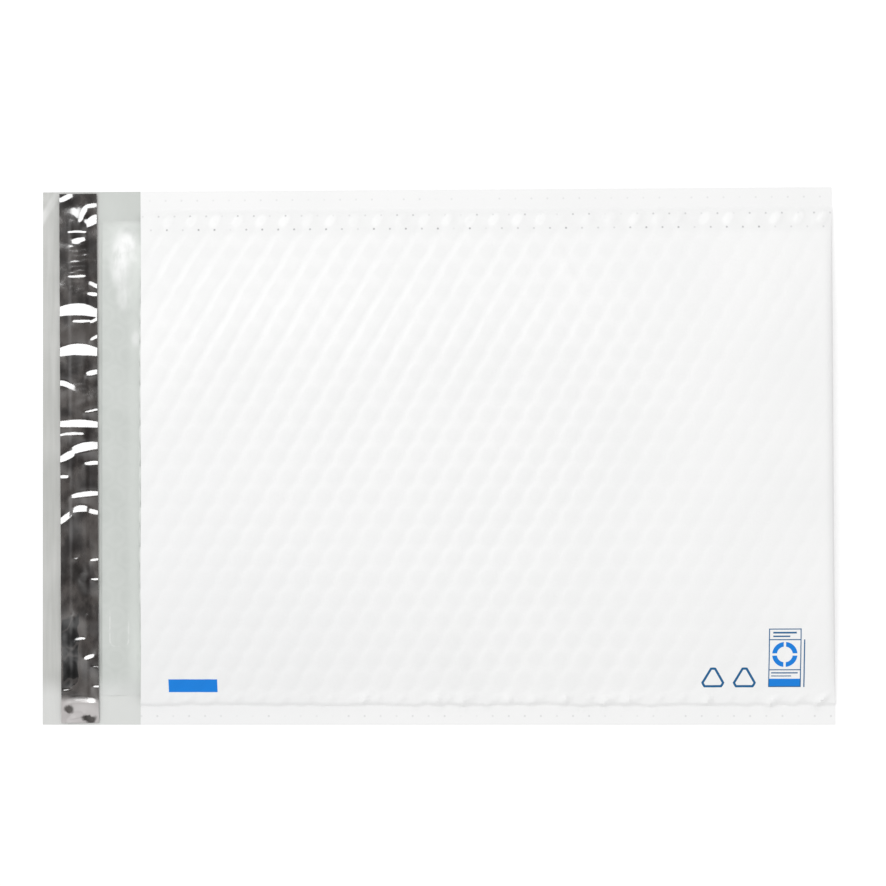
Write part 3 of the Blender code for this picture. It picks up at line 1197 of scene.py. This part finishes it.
class AdhesiveBead:
    """The hot-melt bead on the lip, under the release strip."""

    SIDE = 0.00002
    CROWN = 0.00016

    def __init__(self, sizes: StripSizes, floor: float) -> None:
        """Takes the sizes, and the height of the lip under the bead."""
        self.sizes = sizes
        self.floor = floor

    def build(self) -> Object:
        """Builds a low bead with round sides and ends."""
        sizes = self.sizes
        half = sizes.bead_width / 2
        columns = (half * np.sin(np.linspace(-math.pi / 2, math.pi / 2, 13))).tolist()
        rows = spaced(-sizes.half_bead, sizes.half_bead, 0.0012)
        mesh = bmesh.new()
        lower, upper = blocks(mesh, columns, rows)
        ends = sizes.half_bead - half
        x, y = flat_places(upper)
        reach = np.clip(np.hypot(x, np.maximum(np.abs(y) - ends, 0)) / half, 0, 1)
        crown = self.CROWN * (1 - reach**6) * (1 + 0.10 * ripple(x, y, 0.004, 15))
        set_heights(upper, self.floor + self.SIDE + crown)
        set_heights(lower, np.full(len(lower), self.floor))
        for vert in mesh.verts:
            past = max(abs(vert.co.y) - ends, 0)
            vert.co.x *= math.sqrt(max(1 - (past / half) ** 2, 0.02))
            vert.co.x += sizes.x
        bead = make_object(Piece.BEAD.value + "_detail", mesh)
        bead.data.materials.append(self.hot_melt())
        return bead

    def hot_melt(self) -> Material:
        """Tacky pale amber."""
        graph = Graph("hot_melt")
        cloud = graph.noise(0.006, 3)
        graph.color(graph.mix(cloud.step(0.3, 0.7), (0.52, 0.45, 0.33), (0.64, 0.57, 0.44)))
        graph.roughness(cloud * 0.2 + 0.22)
        graph.bump(graph.noise(0.0015, 2) * 0.00006)
        return graph.material


@dataclass(frozen=True)
class StripFinish:
    """Glossy dark film.

    Attributes:
        dark: Its colour.
        pale: Its colour where it is scuffed.
    """

    dark: Color = (0.018, 0.015, 0.014)
    pale: Color = (0.082, 0.072, 0.067)


class ReleaseStrip:
    """The wrinkled release strip over the adhesive."""

    STEP = 0.00034
    # Each facet's numbers, in the order of Facet's attributes.
    FACETS = (
        (-4.9, 105.5, 2.4, 1.2, 0, 0.45), (5.8, 102.3, 2.2, 0.8, 0, 0.1), (-1.1, 99.4, 1.0, 1.9, 0, -1.2),
        (1.9, 99.0, 1.5, 2.2, 0, 1.6), (5.8, 95.8, 2.4, 2.2, 0.5, 0.5), (-0.3, 91.5, 3.8, 0.5, 0.3),
        (0.1, 88.2, 2.6, 1.1, 0, 0.2), (-0.6, 73.6, 3.6, 0.35), (6.2, 70.1, 2.0, 1.2, 0, -0.5),
        (5.8, 66.4, 2.3, 0.9, 0, -0.1), (-0.1, 58.6, 9.0, 2.7, 1.6, -0.05), (1.3, 55.4, 3.8, 0.7),
        (6.4, 55.6, 1.8, 0.9, 0, 0.5), (6.4, 48.6, 1.9, 0.9, 0, 0.5), (-0.2, 42.3, 9.0, 2.5, 1.8),
        (5.5, 34.4, 2.8, 1.3, 0, 0.2), (-5.0, 29.1, 3.6, 1.5, 0.8, -0.35), (5.0, 19.0, 3.2, 0.6, 0, 0.2),
        (-0.3, 13.4, 9.0, 1.8, 0.5, -0.02), (-3.0, 9.3, 5.6, 0.8, 0.5, 0.05),
        (2.4, 3.8, 6.2, 2.2, 0.6, 0.18), (-4.8, 0.4, 3.4, 1.9, 0.3, 0.45), (4.9, -2.2, 3.4, 1.0, 0, 0.05),
        (-6.2, -7.6, 2.1, 0.8), (2.2, -15.2, 6.2, 1.4, 0.5, 0.12), (-5.6, -24.4, 3.0, 1.9, 0.2, 0.75),
        (0.5, -21.0, 3.4, 1.7, 0.5, 0.1), (5.8, -21.9, 2.6, 1.1, 0, -0.25), (-1.5, -40.7, 1.1, 0.5),
        (6.1, -41.3, 2.0, 0.7, 0, 0.1),
        (1.6, -48.2, 1.8, 2.0, 0, 0, 0.6), (6.2, -49.2, 1.9, 0.5), (-2.9, -63.8, 0.4, 0.7),
        (3.1, -63.5, 0.4, 0.8), (0.2, -73.3, 2.4, 0.7, 0.2, 0.1), (3.9, -80.5, 2.4, 1.1, 0, 0.3),
        (6.4, -84.5, 1.7, 0.5), (-5.6, -93.8, 1.9, 0.5, 0, 0.15), (6.5, -92.5, 1.5, 0.5),
        (0.5, -98.6, 6.8, 1.6, 0.8, 0, 0.8), (-1.5, -104.4, 3.4, 1.4, 0.4, 0.2, 0.8),
    )
    # Each dark spot in the pale end: its place along X and Y, and its reach along both.
    SPOTS = (
        (-0.1488, -0.1012, 0.0022, 0.0020),
        (-0.1406, -0.1056, 0.0034, 0.0017),
    )
    # How much slopes across the strip are held back, and the longest waves that are left.
    STIFF_ACROSS = 0.22
    LONGEST = 0.045

    def __init__(self, sizes: StripSizes, finish: StripFinish) -> None:
        """Takes the sizes and the finish."""
        self.sizes = sizes
        self.finish = finish

    def slope(self, along: Array) -> Array:
        """How steep a facet is: more towards the near end, as the strip curls less there."""
        return np.tan(np.radians(8.7 - along * 45))

    def from_slopes(self, climb: Array, step: float) -> Array:
        """Finds the smooth surface whose slopes along the strip come nearest to the wanted ones.

        Args:
            climb: Wanted slope at each column and row.
            step: Distance between neighbours.

        Returns:
            A height for each column and row, from 0 up.
        """
        count = climb.shape[1]
        mirrored = np.pad(np.concatenate([climb, climb[::-1]]), ((0, 0), (count // 8, count // 8)))
        waves_x = 2 * math.pi * np.fft.fftfreq(mirrored.shape[0], step)[:, None]
        waves_y = 2 * math.pi * np.fft.fftfreq(mirrored.shape[1], step)[None, :]
        spread = waves_y**2 + self.STIFF_ACROSS * waves_x**2 + (2 * math.pi / self.LONGEST) ** 2
        height = np.real(np.fft.ifft2(np.fft.fft2(mirrored) * -1j * waves_y / spread))
        height = height[: climb.shape[0], count // 8 : count // 8 + count]
        return height - height.min()

    def surface(self, across: Array, along: Array) -> Array:
        """Height of the strip's lower face over the place where it lies.

        Args:
            across: Places across the strip, one for each column of points.
            along: Places along it, one for each row of points.

        Returns:
            A height for each column and row.
        """
        sizes = self.sizes
        step = float(along[1] - along[0])
        side, length = np.meshgrid(across, along, indexing="ij")
        lit = np.zeros_like(side)
        for numbers in self.FACETS:
            lit = np.maximum(lit, Facet(*numbers).share(side, length))
        fall = lit * self.slope(length)
        reach = np.arange(-0.020, 0.020 + step / 2, step)
        window = np.exp(-((reach / 0.0075) ** 2))
        weight = np.convolve(np.ones(len(along)), window, "same")
        free = 1 - np.minimum(lit, 1)
        back, room = (
            np.array([np.convolve(row, window, "same") / weight for row in rows]) for rows in (fall, free)
        )
        swell = 0.125 * (1 - 0.4 * smooth_step(length, 0.0, 0.09)) * ripple(side * 0.6, length, 0.0120, 23)
        rest = np.maximum(back / np.maximum(room, 0.25) + swell, 0.110 - self.slope(length))
        height = self.from_slopes(free * rest - fall, step)
        bead = 1 - smooth_step(np.abs(side), sizes.bead_width / 2 - 0.0006, sizes.bead_width / 2 + 0.0012)
        ended = 1 - smooth_step(np.abs(length), sizes.half_bead - 0.001, sizes.half_bead + 0.0015)
        held = bead * ended
        crushed = np.exp(-(((side + 0.003) / 0.0035) ** 2) - ((length + 0.077) / 0.012) ** 2)
        tacky = np.exp(-(((length - 0.080) / 0.012) ** 2)) + 0.8 * np.exp(-(((length - 0.034) / 0.008) ** 2))
        height = height + sizes.bead * held
        height = height + 0.000018 * held * (0.08 + tacky) * ripple(side * 0.3, length, 0.0019, 21, 14)
        height = height + 0.000018 * ripple(side * 0.8, length, 0.0055, 22, 12)
        folds = 0.00003 * np.abs(ripple(side, length, 0.0050, 24, 14)) - 0.065 * (side + 0.003)
        return height + crushed * folds

    def build(self) -> Object:
        """Builds the strip as a thin closed sheet."""
        sizes = self.sizes
        half = sizes.width / 2
        columns = spaced(-half, half, self.STEP)
        rows = spaced(-sizes.half_length, sizes.half_length, self.STEP)
        mesh = bmesh.new()
        lower, upper = blocks(mesh, columns, rows)
        heights = self.surface(np.array(columns), np.array(rows))
        heights = heights - float(heights.min())
        gap = (columns[1] - columns[0], rows[1] - rows[0])
        for verts, lift in ((lower, 0.0), (upper, sizes.thickness)):
            for vert in verts:
                column = round((vert.co.x - columns[0]) / gap[0])
                row = round((vert.co.y - rows[0]) / gap[1])
                vert.co.z = float(heights[column, row]) + lift
        turn = Matrix.Rotation(math.radians(sizes.lean), 4, "Z")
        move = Matrix.Translation(Vector((sizes.x, 0, sizes.base)))
        bmesh.ops.transform(mesh, matrix=move @ turn, verts=mesh.verts[:])
        strip = make_object(Piece.STRIP.value + "_detail", mesh)
        strip.data.set_sharp_from_angle(angle=math.radians(60))
        strip.data.materials.append(self.dark_film())
        return strip

    def dark_film(self) -> Material:
        """Glossy dark brown-grey film with scuffs, and painted shade in a crumple."""
        finish = self.finish
        graph = Graph("release_dark")
        scuff = graph.noise(0.0045, 4, (1, 0.6, 1))
        cloud = graph.noise(0.014, 2)
        ragged = graph.y + cloud * 0.005
        patch = ragged.step(-0.0935, -0.0965)
        for x, y, across, along in self.SPOTS:
            spot = ((graph.x - x) * (1 / across)).far((graph.y - y + scuff * 0.006 - 0.003) * (1 / along))
            patch = patch * spot.step(0.55, 1.15)
        # A crumple near the strip's near end, painted near-black as the shade in its folds.
        ragged_edge = (graph.noise(0.006, 1) - 0.5) * 1.1
        crushed = ((graph.x + 0.1484) * 290).abs().high(((graph.y + 0.0782) * 72).abs()) + ragged_edge
        line = (graph.noise(0.0075, 1, (1, 0.6, 1)) - 0.5).abs().step(0.008, 0.028)
        crushed = crushed.step(1.00, 0.88) * (line * 0.55 + 0.45)
        color = graph.mix((scuff * 0.5 + cloud * 0.5).step(0.38, 0.62), finish.dark, finish.pale)
        color = graph.mix(crushed, color, (0.002, 0.002, 0.002))
        color = graph.mix(patch, color, (0.50, 0.475, 0.47))
        graph.color(color)
        graph.roughness(scuff.step(0.40, 0.80) * 0.10 + 0.08)
        graph.bump(graph.noise(0.0022, 2, (0.5, 1, 1)) * 0.000010)
        graph.set(IOR=2.2)
        return graph.material


# --- Studio


class Studio:
    """Floor, soft light and camera."""

    CAMERA_PLACE = (0.0249, -0.0112, 0.8442)
    CAMERA_TURN = (1.126, 1.505, -0.173)
    LENS = 85.0
    SENSOR = 36.0
    FLOOR_GLOW = 0.38
    WORLD = 0.87
    OVERHEAD = 0.08
    # Angles from straight up, in degrees, at which the dimming starts and is full.
    DIMMED_FROM = 23
    DIMMED_TO = 3
    KEY_PLACE = (-0.74, 0.74, 2.28)
    KEY_SIZE = (1.50, 0.52)
    KEY_GLOW = 6.9

    def build(self) -> None:
        """Sets up everything that isn't the mailer."""
        self.camera()
        self.floor()
        self.world()
        self.key_light()

    def camera(self) -> None:
        """The camera, which looks down on the mailer."""
        data = bpy.data.cameras.new("camera")
        data.lens = self.LENS
        data.sensor_width = self.SENSOR
        made = bpy.data.objects.new("camera", data)
        made.location = self.CAMERA_PLACE
        made.rotation_euler = [math.radians(angle) for angle in self.CAMERA_TURN]
        bpy.context.scene.collection.objects.link(made)
        bpy.context.scene.camera = made

    def floor(self) -> None:
        """A plain pale floor that keeps the mailer's soft shadow."""
        mesh = bmesh.new()
        bmesh.ops.create_grid(mesh, x_segments=1, y_segments=1, size=4)
        bmesh.ops.translate(mesh, vec=(0, 0, -0.0001), verts=mesh.verts[:])
        ground = make_object("floor", mesh)
        graph = Graph("floor_white")
        graph.set(Base_Color=(0.68, 0.68, 0.68), Roughness=0.9, Specular_IOR_Level=0.0)
        glow = graph.nodes.new("ShaderNodeEmission")
        path = graph.nodes.new("ShaderNodeLightPath")
        seen = Field(graph, path.outputs["Is Camera Ray"]) * self.FLOOR_GLOW
        graph.links.new(seen.socket, glow.inputs["Strength"])
        total = graph.nodes.new("ShaderNodeAddShader")
        graph.links.new(graph.shader.outputs[0], total.inputs[0])
        graph.links.new(glow.outputs[0], total.inputs[1])
        graph.links.new(total.outputs[0], graph.nodes["Material Output"].inputs["Surface"])
        ground.data.materials.append(graph.material)

    def world(self) -> None:
        """Even light from all round, dimmer straight above, where the camera and its rig stand."""
        made = bpy.data.worlds.new("studio")
        made.use_nodes = True
        nodes = made.node_tree.nodes
        links = made.node_tree.links
        background = nodes["Background"]
        background.inputs["Color"].default_value = (1, 1, 1, 1)
        split = nodes.new("ShaderNodeSeparateXYZ")
        links.new(nodes.new("ShaderNodeTexCoord").outputs["Generated"], split.inputs[0])
        dimmed = nodes.new("ShaderNodeMapRange")
        dimmed.interpolation_type = "SMOOTHSTEP"
        dimmed.inputs["From Min"].default_value = math.cos(math.radians(self.DIMMED_FROM))
        dimmed.inputs["From Max"].default_value = math.cos(math.radians(self.DIMMED_TO))
        dimmed.inputs["To Min"].default_value = self.WORLD
        dimmed.inputs["To Max"].default_value = self.OVERHEAD
        links.new(split.outputs["Z"], dimmed.inputs["Value"])
        links.new(dimmed.outputs["Result"], background.inputs["Strength"])
        bpy.context.scene.world = made

    def key_light(self) -> None:
        """One softbox with its width along X, turned to the mailer's middle."""
        data = bpy.data.lights.new("key_light", "AREA")
        data.shape = "RECTANGLE"
        data.size, data.size_y = self.KEY_SIZE
        data.energy = math.pi * self.KEY_SIZE[0] * self.KEY_SIZE[1] * self.KEY_GLOW
        back = Vector(self.KEY_PLACE).normalized()
        right = (Vector((1, 0, 0)) - back * back.x).normalized()
        turn = Matrix((right, back.cross(right), back)).transposed().to_4x4()
        made = bpy.data.objects.new("key_light", data)
        made.matrix_world = Matrix.Translation(self.KEY_PLACE) @ turn
        bpy.context.scene.collection.objects.link(made)


# --- Assembly


class Mailer:
    """The whole mailer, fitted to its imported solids."""

    LIP_LENGTH = 0.0398
    LIP_TOP = 0.00037

    def __init__(self) -> None:
        """Reads the sizes that the pieces are fitted to from the solids."""
        low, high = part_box(Piece.FILM.value)
        mouth_x = low[0] + self.LIP_LENGTH
        self.form = Form(lip_x=low[0], mouth_x=mouth_x, fold_x=high[0], half_width=high[1])
        self.ply_sizes = PlySizes(tail_x=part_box(Piece.PLY.value)[0][0])
        strip_low, strip_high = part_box(Piece.STRIP.value)
        bead_low, bead_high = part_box(Piece.BEAD.value)
        self.strip_sizes = StripSizes(
            x=(bead_low[0] + bead_high[0]) / 2 + 0.0002,
            half_length=(strip_high[1] - strip_low[1]) / 2 - 0.00003,
            half_bead=(bead_high[1] - bead_low[1]) / 2,
        )

    def build(self) -> None:
        """Builds and dresses each piece in order."""
        self.place(FilmSheet(self.form, FilmFinish(), Print()).build(), Piece.FILM, Slot.FILM)
        self.place(BubblePly(self.form, self.ply_sizes).build(), Piece.PLY, Slot.PLY)
        self.place(AdhesiveBead(self.strip_sizes, self.LIP_TOP).build(), Piece.BEAD, Slot.BEAD)
        self.place(ReleaseStrip(self.strip_sizes, StripFinish()).build(), Piece.STRIP, Slot.STRIP)

    def place(self, made: Object, piece: Piece, slot: Slot) -> None:
        """Lets a piece stand for its solid, and logs it."""
        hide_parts(piece.value)
        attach(made, ROOT)
        made.data.calc_loop_triangles()
        LOG.info("%s: %d triangles", made.name, len(made.data.loop_triangles))


def main() -> None:
    """Builds the scene."""
    logging.basicConfig(level=logging.INFO, format="%(message)s")
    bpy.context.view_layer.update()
    Studio().build()
    Mailer().build()
    scene = bpy.context.scene
    scene.view_settings.view_transform = "Standard"
    bpy.context.view_layer.update()


if __name__ == "__main__":
    main()
